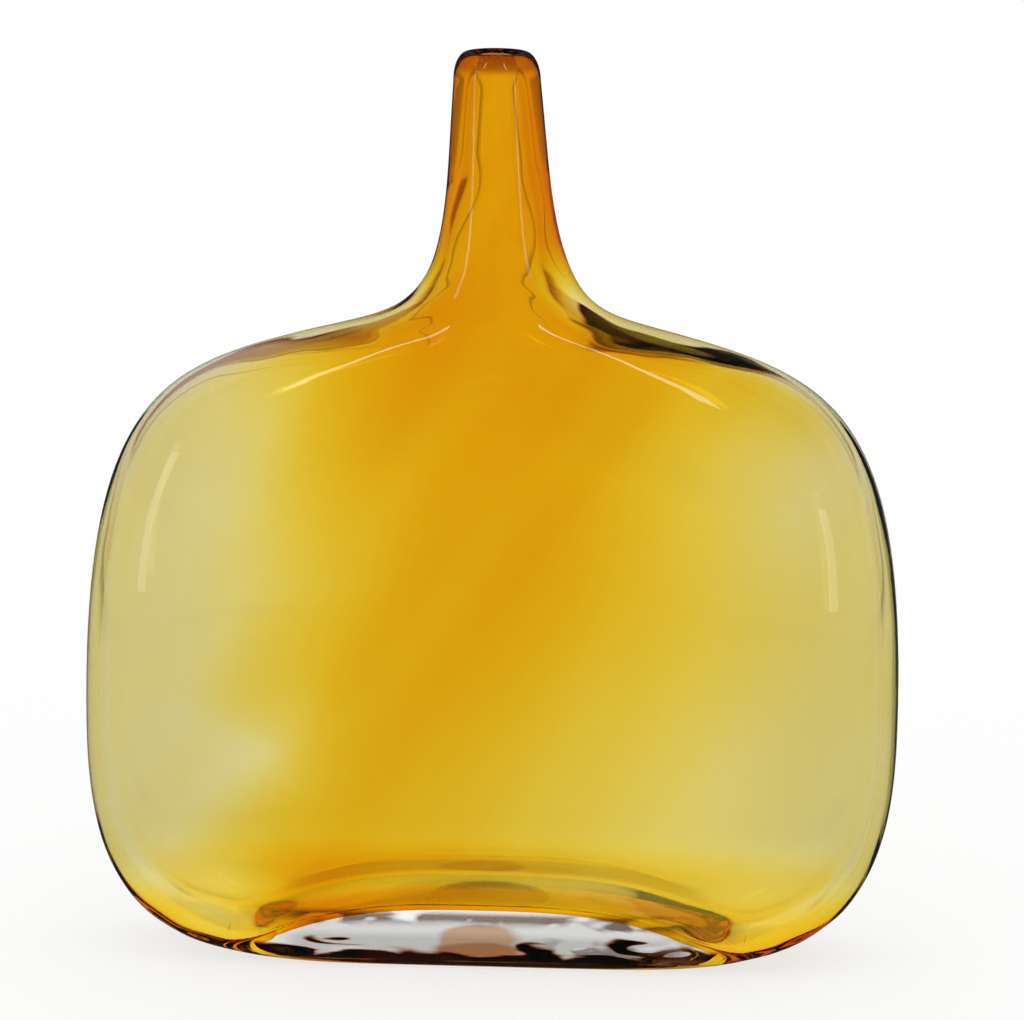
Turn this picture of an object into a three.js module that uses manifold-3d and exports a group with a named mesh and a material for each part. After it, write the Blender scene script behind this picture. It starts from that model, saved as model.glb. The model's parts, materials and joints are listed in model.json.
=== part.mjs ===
// Flattened bottle vase: an amber bubble cased in clear glass, on a thick clear base.
// Units are millimetres. +Z is up, the width runs along X, the broad faces look along -Y and +Y,
// and the origin is on the table under the middle of the body.

import * as THREE from "three";
import { LoftGeometry } from "three/addons/geometries/LoftGeometry.js";
import { mergeVertices } from "three/addons/utils/BufferGeometryUtils.js";
import Module from "manifold-3d";

// Overall sizes
const HEIGHT = 305;
const BODY_WIDTH = 273;
const BODY_DEPTH = 88;
const WIDEST_HEIGHT = 87;
const DEEPEST_HEIGHT = 95;

// Foot
const FOOT_WIDTH = 114;
const FOOT_DEPTH = 52;

// Shoulder: the point where the outline turns from round to hollow, and its slope in degrees there
const SHOULDER_HEIGHT = 210;
const SHOULDER_WIDTH = 129;
const SHOULDER_SLOPE = 14.5;

// Neck and lip
const NECK_FOOT_DIAMETER = 32.8;
const NECK_TOP_DIAMETER = 28.8;
const NECK_LENGTH = 26;
const LIP_ROUNDING = 9.2;
const LIP_INNER_RADIUS = 2.2;

// How far the hand-drawn neck stands off the middle where it turns and at the lip, and where it starts and turns
const NECK_SHIFT = 1.2;
const LIP_SHIFT = -0.8;
const LEAN_START_HEIGHT = 190;
const LEAN_TURN_HEIGHT = 235;

// Glass thicknesses
const CASING_BODY = 3;
const CASING_NECK = 4.7;
const AMBER_BODY = 1.6;
const AMBER_NECK = 2.4;
const BASE_THICKNESS = 19;
const BASE_WIDTH = 176;
const KICK_FADE_HEIGHT = 38;

// Ground and polished hollow under the base
const PONTIL_DIAMETER = 36;
const PONTIL_DEPTH = 1.5;

// The layers are fused in the real vase; here they keep this distance
const FUSE_GAP = 0.3;

// Fullness of the curves, as shares of the spans that they bridge
const HEEL_REACH = 0.97;
const HEEL_RISE = 0.52;
const SIDE_RISE = 0.8;
const SHOULDER_REACH = 0.67;
const FLARE_REACH = 0.68;
const FLARE_RISE = 0.9;
const FACE_HEEL_REACH = 0.6;
const FACE_HEEL_RISE = 0.58;
const FACE_RISE = 0.37;
const FACE_FLARE = 0.31;

// Squareness of the level sections: 2 is an ellipse, higher is nearer to a rectangle
const NECK_SQUARENESS = 2;
const BODY_SQUARENESS = 2.8;
const FOOT_SQUARENESS = 6.5;
const SQUARE_FOOT_HEIGHT = 60;
const ROUND_START_HEIGHT = 140;

// Facets
const AROUND = 44;
const STEPS_HEEL = 9;
const STEPS_SIDE = 7;
const STEPS_FLARE = 9;
const STEPS_NECK = 2;
const STEPS_LIP = 5;
const STEPS_FLOOR = 6;
const FINE_STEPS = 240;

const lipStart = HEIGHT - LIP_ROUNDING;
const neckFoot = lipStart - NECK_LENGTH;
const neckTaper = (NECK_FOOT_DIAMETER - NECK_TOP_DIAMETER) / 2 / NECK_LENGTH;
const kick = BASE_THICKNESS - CASING_BODY;

function ease(from, to, value) {
  return THREE.MathUtils.smoothstep(value, from, to);
}

// Outline seen from the broad side, from the edge of the foot up to the start of the lip
function broadOutline() {
  const half = BODY_WIDTH / 2;
  const foot = FOOT_WIDTH / 2;
  const neck = NECK_FOOT_DIAMETER / 2;
  const shoulder = new THREE.Vector2(SHOULDER_WIDTH / 2, SHOULDER_HEIGHT);
  const slope = THREE.MathUtils.degToRad(SHOULDER_SLOPE);
  const downhill = new THREE.Vector2(Math.cos(slope), -Math.sin(slope));
  const above = shoulder.clone().addScaledVector(downhill, SHOULDER_REACH * (half - shoulder.x));
  const below = shoulder.clone().addScaledVector(downhill, -FLARE_REACH * (shoulder.x - neck));
  const flare = FLARE_RISE * (neckFoot - SHOULDER_HEIGHT);
  const path = new THREE.Path();
  path.moveTo(foot, 0);
  path.bezierCurveTo(
    foot + HEEL_REACH * (half - foot), 0,
    half, WIDEST_HEIGHT * (1 - HEEL_RISE),
    half, WIDEST_HEIGHT,
  );
  path.bezierCurveTo(
    half, WIDEST_HEIGHT + SIDE_RISE * (SHOULDER_HEIGHT - WIDEST_HEIGHT),
    above.x, above.y,
    shoulder.x, shoulder.y,
  );
  path.bezierCurveTo(
    below.x, below.y,
    neck + neckTaper * flare, neckFoot - flare,
    neck, neckFoot,
  );
  path.lineTo(NECK_TOP_DIAMETER / 2, lipStart);
  return path;
}

// Outline seen from the narrow side
function narrowOutline() {
  const half = BODY_DEPTH / 2;
  const foot = FOOT_DEPTH / 2;
  const neck = NECK_FOOT_DIAMETER / 2;
  const rise = neckFoot - DEEPEST_HEIGHT;
  const path = new THREE.Path();
  path.moveTo(foot, 0);
  path.bezierCurveTo(
    foot + FACE_HEEL_REACH * (half - foot), 0,
    half, DEEPEST_HEIGHT * (1 - FACE_HEEL_RISE),
    half, DEEPEST_HEIGHT,
  );
  path.bezierCurveTo(
    half, DEEPEST_HEIGHT + FACE_RISE * rise,
    neck + neckTaper * FACE_FLARE * rise, neckFoot - FACE_FLARE * rise,
    neck, neckFoot,
  );
  path.lineTo(NECK_TOP_DIAMETER / 2, lipStart);
  return path;
}

// Thickness of glass between the outer skin and each layer boundary, at a height on the skin
const toSkin = () => 0;
const toCasing = (z) => CASING_BODY + (CASING_NECK - CASING_BODY) * ease(SHOULDER_HEIGHT, neckFoot, z);
const toAmber = (z) => toCasing(z) + FUSE_GAP;
const toAir = (z) => toAmber(z) + AMBER_BODY + (AMBER_NECK - AMBER_BODY) * ease(SHOULDER_HEIGHT, neckFoot, z);

// Point on a curve of an outline, moved square to the curve into the glass
function inset(curve, t, thickness) {
  const point = curve.getPoint(t);
  const along = curve.getTangent(t);
  const depth = thickness(point.y);
  return new THREE.Vector2(point.x - along.y * depth, point.y + along.x * depth);
}

// Half-depth of a layer boundary as a function of height
function depthBy(thickness) {
  const points = narrowOutline().curves.flatMap((curve) =>
    Array.from({ length: FINE_STEPS + 1 }, (_, i) => inset(curve, i / FINE_STEPS, thickness)),
  );
  return (z) => {
    const next = points.findIndex((point) => point.y >= z);
    if (next < 1) {
      return next === 0 ? points[0].x : points.at(-1).x;
    }
    const low = points[next - 1];
    const high = points[next];
    return THREE.MathUtils.mapLinear(z, low.y, high.y, low.x, high.x);
  };
}

// Sideways place of the middle of a level section
function middleAt(z) {
  const lean = THREE.MathUtils.clamp((z - LEAN_TURN_HEIGHT) / (HEIGHT - LEAN_TURN_HEIGHT), 0, 1);
  return NECK_SHIFT * ease(LEAN_START_HEIGHT, LEAN_TURN_HEIGHT, z) + (LIP_SHIFT - NECK_SHIFT) * lean;
}

function squarenessAt(z) {
  const body = THREE.MathUtils.lerp(BODY_SQUARENESS, NECK_SQUARENESS, ease(ROUND_START_HEIGHT, SHOULDER_HEIGHT, z));
  const foot = 1 - THREE.MathUtils.clamp(z / SQUARE_FOOT_HEIGHT, 0, 1);
  return body + (FOOT_SQUARENESS - BODY_SQUARENESS) * foot * foot;
}

// Arch across the width by which the bottom of the bubble is pushed up over the base
function archAt(x) {
  const share = Math.min(1, (2 * Math.abs(x)) / BASE_WIDTH);
  return kick * (1 - share ** 3) ** 1.3;
}

// Level section of the pressed form as a closed ring; the layers inside the skin follow the arch
function ring(halfWidth, halfDepth, z, inside) {
  const n = squarenessAt(z);
  const fade = inside ? 1 - ease(toCasing(0), KICK_FADE_HEIGHT, z) : 0;
  return Array.from({ length: AROUND }, (_, i) => {
    const angle = (i / AROUND) * 2 * Math.PI;
    const c = Math.cos(angle);
    const s = Math.sin(angle);
    const k = (Math.abs(c) ** n + Math.abs(s) ** n) ** (-1 / n);
    const x = halfWidth * k * c;
    return new THREE.Vector3(middleAt(z) + x, halfDepth * k * s, z + fade * archAt(x));
  });
}

// Place on the heel curve where the base ends and the casing begins
function seamPlace() {
  const heel = broadOutline().curves[0];
  let low = 0;
  let high = 1;
  for (let i = 0; i < 40; i++) {
    const middle = (low + high) / 2;
    if (heel.getPoint(middle).x < BASE_WIDTH / 2) {
      low = middle;
    } else {
      high = middle;
    }
  }
  return low;
}

const seam = seamPlace();

function shares(count) {
  return Array.from({ length: count }, (_, i) => (i + 1) / count);
}

// Places of the level sections on the four curves of the broad outline, from the seam up
const places = [
  shares(STEPS_HEEL).map((share) => THREE.MathUtils.lerp(seam, 1, share)),
  shares(STEPS_SIDE),
  shares(STEPS_FLARE),
  shares(STEPS_NECK),
];

// Rings of a layer boundary at places on one curve of the broad outline
function ringsAt(thickness, curveIndex, list) {
  const depth = depthBy(thickness);
  const curve = broadOutline().curves[curveIndex];
  return list.map((place) => {
    const point = inset(curve, place, thickness);
    return ring(point.x, depth(point.y), point.y, thickness !== toSkin);
  });
}

// Rings of a layer boundary from the seam up to the start of the lip
function wallRings(thickness) {
  return [...ringsAt(thickness, 0, [seam]), ...places.flatMap((list, index) => ringsAt(thickness, index, list))];
}

// Rings of a layer boundary over the middle of the floor, from the axis out to the edge of the foot
function floorRings(thickness) {
  const edge = inset(broadOutline().curves[0], 0, thickness);
  const depth = depthBy(thickness)(edge.y);
  return Array.from({ length: STEPS_FLOOR }, (_, i) => {
    const share = i / STEPS_FLOOR;
    return ring(edge.x * share, depth * share, edge.y, true);
  });
}

// Quarter round of the lip, from one radius and height to another
function lipRings(fromRadius, fromZ, toRadius, toZ, rising) {
  return shares(STEPS_LIP).map((share) => {
    const turn = (share * Math.PI) / 2;
    const across = rising ? 1 - Math.cos(turn) : Math.sin(turn);
    const up = rising ? Math.sin(turn) : 1 - Math.cos(turn);
    const radius = THREE.MathUtils.lerp(fromRadius, toRadius, across);
    return ring(radius, radius, THREE.MathUtils.lerp(fromZ, toZ, up), false);
  });
}

const neckRadius = NECK_TOP_DIAMETER / 2;
const boreRadius = neckRadius - toAir(HEIGHT);
const crestRadius = boreRadius + LIP_INNER_RADIUS;
const rollFoot = HEIGHT - LIP_INNER_RADIUS;

const manifold = await Module();
manifold.setup();

function solid(geometry) {
  const bare = new THREE.BufferGeometry();
  bare.setAttribute("position", geometry.toNonIndexed().getAttribute("position"));
  const merged = mergeVertices(bare, 1e-3);
  return new manifold.Manifold(
    new manifold.Mesh({
      numProp: 3,
      vertProperties: merged.attributes.position.array,
      triVerts: new Uint32Array(merged.index.array),
    }),
  );
}

function shape(body) {
  const mesh = body.getMesh();
  const geometry = new THREE.BufferGeometry();
  geometry.setAttribute("position", new THREE.BufferAttribute(mesh.vertProperties, 3));
  geometry.setIndex(new THREE.BufferAttribute(mesh.triVerts, 1));
  geometry.computeVertexNormals();
  return geometry;
}

// The whole vase as if it were solid, with the rounded lip rolled a little way into the mouth
function solidVase() {
  const mouthFloor = rollFoot - LIP_INNER_RADIUS;
  const sections = [
    ring(0, 0, 0, false),
    ...ringsAt(toSkin, 0, [0, seam / 2]),
    ...wallRings(toSkin),
    ...lipRings(neckRadius, lipStart, crestRadius, HEIGHT, true),
    ...lipRings(crestRadius, HEIGHT, boreRadius, rollFoot, false),
    ring(boreRadius, boreRadius, mouthFloor, false),
    ring(0, 0, mouthFloor, false),
  ];
  return solid(new LoftGeometry(sections));
}

// Everything inside a layer boundary, from the floor up to a height in the neck
function hollow(thickness, top) {
  const radius = neckRadius - thickness(HEIGHT);
  const sections = [
    ...floorRings(thickness),
    ...ringsAt(thickness, 0, [0, seam / 2]),
    ...wallRings(thickness),
    ring(radius, radius, top, false),
    ring(0, 0, top, false),
  ];
  return solid(new LoftGeometry(sections));
}

// Blank that holds the base: its side runs through the seam, from under the heel up past the arch
function baseBlank(gap) {
  const heel = broadOutline().curves[0];
  const outer = inset(heel, seam, toSkin);
  const inner = inset(heel, seam, toCasing);
  const low = ring(outer.x - gap, depthBy(toSkin)(outer.y) - gap, outer.y, false);
  const high = ring(inner.x - gap, depthBy(toCasing)(inner.y) - gap, inner.y, true);
  const under = low.map((point, i) => point.clone().lerp(high[i], -0.2));
  const drop = under.map((point) => new THREE.Vector3(point.x, point.y, -CASING_BODY));
  const roof = Math.max(...high.map((point) => point.z)) + 2 * CASING_BODY;
  const rise = high.map((point) => new THREE.Vector3(point.x, point.y, roof));
  const bottom = ring(0, 0, -CASING_BODY, false);
  const top = ring(0, 0, roof, false);
  return solid(new LoftGeometry([bottom, drop, under, low, high, rise, top]));
}

// The hollow is the cap of a grinding wheel that reaches up into the underside
function pontilWheel() {
  const half = PONTIL_DIAMETER / 2;
  const sphere = (half * half + PONTIL_DEPTH * PONTIL_DEPTH) / (2 * PONTIL_DEPTH);
  const profile = Array.from({ length: 5 }, (_, i) => {
    const r = half * (1 - i / 4);
    return new THREE.Vector2(r, Math.sqrt(sphere * sphere - r * r) - (sphere - PONTIL_DEPTH));
  });
  const points = [new THREE.Vector2(0, -PONTIL_DEPTH), new THREE.Vector2(half, -PONTIL_DEPTH), ...profile];
  return new THREE.LatheGeometry(points, 32).rotateX(Math.PI / 2);
}

const clearGlass = new THREE.MeshStandardMaterial({ color: 0xe4e8e2, roughness: 0.03, metalness: 0 });
const amberGlass = new THREE.MeshStandardMaterial({ color: 0xd9a800, roughness: 0.05, metalness: 0 });

function piece(name, geometry, material) {
  const mesh = new THREE.Mesh(geometry, material);
  mesh.name = name;
  return mesh;
}

const whole = solidVase();
const bubble = hollow(toCasing, rollFoot);
const casing = whole.subtract(bubble).subtract(baseBlank(0));
const amber = hollow(toAmber, rollFoot - FUSE_GAP).subtract(hollow(toAir, HEIGHT));
const base = whole.intersect(baseBlank(FUSE_GAP)).subtract(bubble).subtract(solid(pontilWheel()));

const vessel = new THREE.Group();
vessel.name = "vessel";
vessel.add(piece("clear_casing", shape(casing), clearGlass));
vessel.add(piece("amber_bubble", shape(amber), amberGlass));

const foot = new THREE.Group();
foot.name = "foot";
foot.add(piece("clear_base", shape(base), clearGlass));

const vase = new THREE.Group();
vase.name = "vase";
vase.add(vessel, foot);

export default vase;
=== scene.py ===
"""Flattened bottle vase of amber glass cased in clear glass, on a thick clear base."""

import json
import math
from collections import namedtuple

import bmesh
import bpy
from bpy.props import FloatProperty, FloatVectorProperty, IntProperty, PointerProperty
from mathutils import Matrix, Vector, noise

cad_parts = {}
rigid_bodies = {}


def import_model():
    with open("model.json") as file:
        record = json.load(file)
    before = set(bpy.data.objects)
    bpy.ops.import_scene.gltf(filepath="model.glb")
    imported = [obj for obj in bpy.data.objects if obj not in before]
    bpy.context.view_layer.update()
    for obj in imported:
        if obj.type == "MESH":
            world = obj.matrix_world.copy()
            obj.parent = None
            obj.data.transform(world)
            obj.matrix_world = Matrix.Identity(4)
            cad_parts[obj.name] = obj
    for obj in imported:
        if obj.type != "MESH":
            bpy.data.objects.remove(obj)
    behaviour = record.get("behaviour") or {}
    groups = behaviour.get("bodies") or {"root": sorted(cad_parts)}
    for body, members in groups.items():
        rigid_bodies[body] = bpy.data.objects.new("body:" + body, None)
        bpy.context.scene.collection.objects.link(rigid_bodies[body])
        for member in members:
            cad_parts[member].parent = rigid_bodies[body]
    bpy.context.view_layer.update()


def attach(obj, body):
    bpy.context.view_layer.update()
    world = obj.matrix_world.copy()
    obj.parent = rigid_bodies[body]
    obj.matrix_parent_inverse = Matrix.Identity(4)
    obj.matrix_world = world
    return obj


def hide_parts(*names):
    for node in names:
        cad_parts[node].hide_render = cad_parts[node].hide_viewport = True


bl_info = {
    "name": "Amber Bottle Vase",
    "version": (1, 0, 0),
    "blender": (4, 5, 0),
    "location": "View3D > Sidebar > Vase",
    "description": "Builds a flattened bottle vase of amber glass cased in clear glass",
    "category": "Add Mesh",
}

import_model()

MM = 0.001


def linear(code):
    """Linear red, green and blue of an sRGB hex colour."""
    parts = [int(code[i : i + 2], 16) / 255 for i in (1, 3, 5)]
    return tuple(p / 12.92 if p <= 0.04045 else ((p + 0.055) / 1.055) ** 2.4 for p in parts)


def length(name, description, millimetres):
    """A size of the vase, written in millimetres and kept in metres."""
    return FloatProperty(
        name=name,
        description=description,
        default=millimetres * MM,
        precision=5,
        subtype="DISTANCE",
        unit="LENGTH",
    )


def share(name, description, default):
    """A plain number, such as a share of a span."""
    return FloatProperty(name=name, description=description, default=default, precision=3)


def tint(name, description, code):
    """A colour, written as an sRGB hex value."""
    return FloatVectorProperty(
        name=name,
        description=description,
        default=linear(code),
        size=3,
        subtype="COLOR",
    )


class VaseForm(bpy.types.PropertyGroup):
    """Outer form of the vase."""

    height: length("Height", "From the table to the crest of the lip", 305)
    body_width: length("Body width", "Widest part of the body", 273)
    body_depth: length("Body depth", "Deepest part of the body", 88)
    widest_height: length("Widest height", "Height of the widest part", 87)
    deepest_height: length("Deepest height", "Height of the deepest part", 95)
    foot_width: length("Foot width", "Width of the flat foot", 114)
    foot_depth: length("Foot depth", "Depth of the flat foot", 52)
    shoulder_height: length("Shoulder height", "Height where the outline turns from round to hollow", 210)
    shoulder_width: length("Shoulder width", "Width at the shoulder height", 129)
    shoulder_slope: FloatProperty(
        name="Shoulder slope",
        description="Fall of the outline at the shoulder height",
        default=math.radians(14.5),
        subtype="ANGLE",
        unit="ROTATION",
    )
    neck_foot: length("Neck foot", "Diameter at the foot of the straight neck", 32.8)
    neck_top: length("Neck top", "Diameter under the lip", 28.8)
    neck_length: length("Neck length", "Length of the straight neck", 26)
    lip_rounding: length("Lip rounding", "Height of the round from the neck to the crest of the lip", 9.2)
    lip_inner: length("Lip inner radius", "Round from the crest into the mouth", 2.2)
    neck_shift: length("Neck shift", "How far the neck stands off the middle where it turns", 1.2)
    lip_shift: length("Lip shift", "How far the lip stands off the middle", -0.8)
    lean_start: length("Lean start", "Height where the neck starts to leave the middle", 190)
    lean_turn: length("Lean turn", "Height where the neck turns back", 235)
    heel_reach: share("Heel reach", "Fullness of the heel along the table", 0.97)
    heel_rise: share("Heel rise", "Fullness of the heel up the side", 0.52)
    side_rise: share("Side rise", "Fullness of the side under the shoulder", 0.8)
    shoulder_reach: share("Shoulder reach", "Fullness of the shoulder outwards", 0.67)
    flare_reach: share("Flare reach", "Fullness of the hollow at the shoulder", 0.68)
    flare_rise: share("Flare rise", "Fullness of the hollow up the neck", 0.9)
    face_heel_reach: share("Face heel reach", "Fullness of the heel towards the broad faces", 0.6)
    face_heel_rise: share("Face heel rise", "Fullness of the broad faces above the heel", 0.58)
    face_rise: share("Face rise", "Fullness of the broad faces under the neck", 0.37)
    face_flare: share("Face flare", "Length of the hollow from the faces into the neck", 0.31)
    body_squareness: share("Body squareness", "Level sections of the body: 2 is an ellipse", 2.8)
    foot_squareness: share("Foot squareness", "Level section of the foot: higher is squarer", 6.5)
    round_start: length("Round start", "Height where the sections start to turn into ellipses", 140)
    square_foot: length("Square foot height", "Height over which the square foot fades", 60)


class VaseGlass(bpy.types.PropertyGroup):
    """Thickness of the glass layers and how even the hand left them."""

    casing_body: length("Casing, body", "Clear casing in the body", 3)
    casing_neck: length("Casing, neck", "Clear casing in the neck", 4.7)
    amber_body: length("Amber, body", "Amber bubble in the body", 1.6)
    amber_neck: length("Amber, neck", "Amber bubble in the neck", 2.4)
    base_thickness: length("Base thickness", "Clear glass under the middle of the bubble", 22)
    base_width: length("Base width", "Width of the thick clear base", 176)
    floor_fillet: length("Floor fillet", "Round from the bubble's floor into its walls", 4)
    pontil_diameter: length("Ground hollow", "Diameter of the hollow ground under the base", 36)
    pontil_depth: length("Hollow depth", "Depth of the hollow ground under the base", 0.6)
    casing_shoulder: length("Casing, shoulder", "Clear casing along the ridge of the shoulders", 1.3)
    casing_flare: length("Casing, flare", "Clear casing in the hollow under the neck", 4.2)
    thin_start: length("Thin start", "Height where the casing starts to thin towards the shoulders", 140)
    thin_end: length("Thin end", "Height where it is thinnest", 188)
    flare_start: length("Flare start", "Height where it starts to thicken towards the neck", 198)
    flare_full: length("Flare full", "Height where it is thickest", 224)
    flare_end: length("Flare end", "Height where it starts to thin up the neck", 232)
    bubble_shift: length("Bubble shift", "How far the bubble sits off the middle under the neck", -1.8)
    base_wave: length("Base wave", "How far the heel of the base wanders", 0.7)
    fuse: length("Fuse", "Distance kept between the fused layers", 0.02)
    skin_wave: length("Skin wave", "How far the outer skin wanders", 0.2)
    cavity_wave: length("Cavity wave", "How far the inside wanders", 0.4)
    around: IntProperty(name="Around", description="Facets round the vase", default=192, min=24)


class VaseColours(bpy.types.PropertyGroup):
    """Colours of the glass, of the painted shade and reflection in it, and of the floor."""

    amber: tint("Amber", "What a unit depth of the amber lets through", "#FDF0A3")
    # Base: painted shade, a grey laid over the low middle of the heel
    base: tint("Base", "Tone of the thick clear base", "#BEBEBA")
    # Painted reflection of the amber, laid as a brown patch in the heel
    painted_amber_reflection: tint("Smear", "Brown smear in the heel of the base", "#9A6A46")
    # Painted shade, laid as dark patches in the base
    fold: tint("Fold", "Dark folds in the base", "#4A3A2E")
    # Painted shade on the rolled lip, in an amber brown
    lip: tint("Lip", "Amber seen through the rolled lip", "#B4853C")
    floor: tint("Floor", "Matt white paper", "#FEFEFD")


# Geometry: outlines, layers and level sections

Station = namedtuple("Station", "half_width half_depth height squareness ground zone inner")

# The two faces of a piece, and the place of each one's material on it
OUTSIDE, INSIDE = 0, 1

# Squareness of a level section that is an ellipse
ELLIPSE = 2.0

# Stations along the heel, side, flare and neck of a wall, and along the other parts of a profile
WALL_STEPS = (44, 36, 48, 12)
HEEL_STEPS = 14
FLOOR_STEPS = 22
LIP_STEPS = 14
ROLL_STEPS = 8
PONTIL_STEPS = 8

# Edges that turn further than this stay crisp
SHARP_EDGE = math.radians(35)

# Distances in metres that count as nothing, for welding points and for dividing
WELD = 1e-6
TINY = 1e-9


def ease(low, high, value):
    """Smooth step from 0 at low to 1 at high."""
    part = min(1.0, max(0.0, (value - low) / (high - low)))
    return part * part * (3 - 2 * part)


def mix(low, high, part):
    """Value at a part of the way from low to high."""
    return low + (high - low) * part


def soft_max(first, second, blend):
    """The higher of two heights, rounded where they meet."""
    part = min(1.0, max(0.0, 0.5 + 0.5 * (first - second) / blend))
    return mix(second, first, part) + blend * part * (1 - part)


def quarter_turn(steps):
    """Angles in even steps from just over zero to a right angle."""
    return [(i + 1) / steps * math.pi / 2 for i in range(steps)]


def lip_start(form):
    """Height where the neck ends and the lip begins."""
    return form.height - form.lip_rounding


def neck_start(form):
    """Height where the straight neck begins."""
    return lip_start(form) - form.neck_length


def straight(start, end):
    """A straight line as a cubic curve."""
    return (start, start.lerp(end, 1 / 3), start.lerp(end, 2 / 3), end)


def broad_outline(form):
    """Heel, side, flare and neck of the outline seen from the broad side."""
    half, foot, neck = form.body_width / 2, form.foot_width / 2, form.neck_foot / 2
    neck_z = neck_start(form)
    taper = (form.neck_foot - form.neck_top) / 2 / form.neck_length
    shoulder = Vector((form.shoulder_width / 2, form.shoulder_height))
    downhill = Vector((math.cos(form.shoulder_slope), -math.sin(form.shoulder_slope)))
    rise = form.flare_rise * (neck_z - form.shoulder_height)
    widest = Vector((half, form.widest_height))
    neck_foot = Vector((neck, neck_z))
    return [
        (
            Vector((foot, 0)),
            Vector((foot + form.heel_reach * (half - foot), 0)),
            Vector((half, form.widest_height * (1 - form.heel_rise))),
            widest,
        ),
        (
            widest,
            Vector((half, mix(form.widest_height, form.shoulder_height, form.side_rise))),
            shoulder + downhill * (form.shoulder_reach * (half - shoulder.x)),
            shoulder,
        ),
        (
            shoulder,
            shoulder - downhill * (form.flare_reach * (shoulder.x - neck)),
            Vector((neck + taper * rise, neck_z - rise)),
            neck_foot,
        ),
        straight(neck_foot, Vector((form.neck_top / 2, lip_start(form)))),
    ]


def narrow_outline(form):
    """Heel, face and neck of the outline seen from the narrow side."""
    half, foot, neck = form.body_depth / 2, form.foot_depth / 2, form.neck_foot / 2
    neck_z = neck_start(form)
    taper = (form.neck_foot - form.neck_top) / 2 / form.neck_length
    rise = neck_z - form.deepest_height
    deepest = Vector((half, form.deepest_height))
    neck_foot = Vector((neck, neck_z))
    return [
        (
            Vector((foot, 0)),
            Vector((foot + form.face_heel_reach * (half - foot), 0)),
            Vector((half, form.deepest_height * (1 - form.face_heel_rise))),
            deepest,
        ),
        (
            deepest,
            Vector((half, form.deepest_height + form.face_rise * rise)),
            Vector((neck + taper * form.face_flare * rise, neck_z - form.face_flare * rise)),
            neck_foot,
        ),
        straight(neck_foot, Vector((form.neck_top / 2, lip_start(form)))),
    ]


def inset(curve, part, depth):
    """Point on a curve of an outline, moved square to the curve into the glass."""
    a, b, c, d = curve
    rest = 1 - part
    point = a * rest**3 + b * (3 * rest * rest * part) + c * (3 * rest * part * part) + d * part**3
    along = (b - a) * (rest * rest) + (c - b) * (2 * rest * part) + (d - c) * (part * part)
    along.normalize()
    deep = depth(point.y)
    return Vector((point.x - along.y * deep, point.y + along.x * deep))


class Layer:
    """One boundary of the glass, at a depth under the skin."""

    # Places read off each curve of the narrow outline
    FINE = 240

    def __init__(self, form, depth, face_depth, inside):
        self.form, self.depth, self.inside = form, depth, inside
        self.curves = broad_outline(form)
        self.ground = inset(self.curves[0], 0, depth).y
        places = [i / self.FINE for i in range(self.FINE + 1)]
        self.face = [inset(curve, part, face_depth) for curve in narrow_outline(form) for part in places]

    def half_depth(self, height):
        """Half of the depth at a height, read off the outline of the narrow side."""
        for low, high in zip(self.face, self.face[1:]):
            if high.y >= height:
                if high.y - low.y < TINY or low.y >= height:
                    return low.x
                return mix(low.x, high.x, (height - low.y) / (high.y - low.y))
        return self.face[-1].x

    def squareness(self, height):
        """How square the level section is at a height."""
        form = self.form
        body = mix(form.body_squareness, ELLIPSE, ease(form.round_start, form.shoulder_height, height))
        foot = 1 - min(1.0, max(0.0, height / form.square_foot))
        return body + (form.foot_squareness - form.body_squareness) * foot * foot

    def station(self, half_width, half_depth, height, zone):
        """One place on a profile, with the form of its level section."""
        squareness = self.squareness(height)
        return Station(half_width, half_depth, height, squareness, self.ground, zone, self.inside)

    def along(self, index, parts, zone):
        """Stations at places on one curve of the broad outline."""
        made = []
        for part in parts:
            point = inset(self.curves[index], part, self.depth)
            made.append(self.station(point.x, self.half_depth(point.y), point.y, zone))
        return made

    def wall(self, seam, zone):
        """Stations from the seam up to the start of the lip."""
        made = self.along(0, [seam], zone)
        for index, count in enumerate(WALL_STEPS):
            first = seam if index == 0 else 0.0
            made += self.along(index, [mix(first, 1, (i + 1) / count) for i in range(count)], zone)
        return made

    def heel(self, seam, zone):
        """Stations from the edge of the foot out to just before the seam."""
        return self.along(0, [seam * i / HEEL_STEPS for i in range(HEEL_STEPS)], zone)

    def floor(self, zone):
        """Stations over the middle of the floor, from the axis out to just before the edge of the foot."""
        edge = inset(self.curves[0], 0, self.depth)
        deep = self.half_depth(edge.y)
        parts = [i / FLOOR_STEPS for i in range(FLOOR_STEPS)]
        return [self.station(edge.x * part, deep * part, edge.y, zone) for part in parts]


def flare_share(form, glass, height):
    """1 in the hollow under the neck, 0 along the shoulders and in the straight neck."""
    thicker = ease(glass.flare_start, glass.flare_full, height)
    return thicker * (1 - ease(glass.flare_end, neck_start(form), height))


def layers(form, glass):
    """The skin, both sides of the fused joint and the inside of the bubble."""
    shoulder, neck = form.shoulder_height, neck_start(form)

    def none(z):
        return 0.0

    def face_casing(z):
        return mix(glass.casing_body, glass.casing_neck, ease(shoulder, neck, z))

    def casing(z):
        thin = ease(glass.thin_start, glass.thin_end, z) * (1 - ease(glass.flare_end, neck, z))
        along = mix(face_casing(z), glass.casing_shoulder, thin)
        return mix(along, glass.casing_flare, flare_share(form, glass, z))

    def amber_wall(z):
        return mix(glass.amber_body, glass.amber_neck, ease(shoulder, neck, z))

    def under(extra):
        return Layer(form, lambda z: casing(z) + extra(z), lambda z: face_casing(z) + extra(z), True)

    return {
        "skin": Layer(form, none, none, False),
        "casing": under(none),
        "amber": under(lambda z: glass.fuse),
        "air": under(lambda z: glass.fuse + amber_wall(z)),
    }


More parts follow.
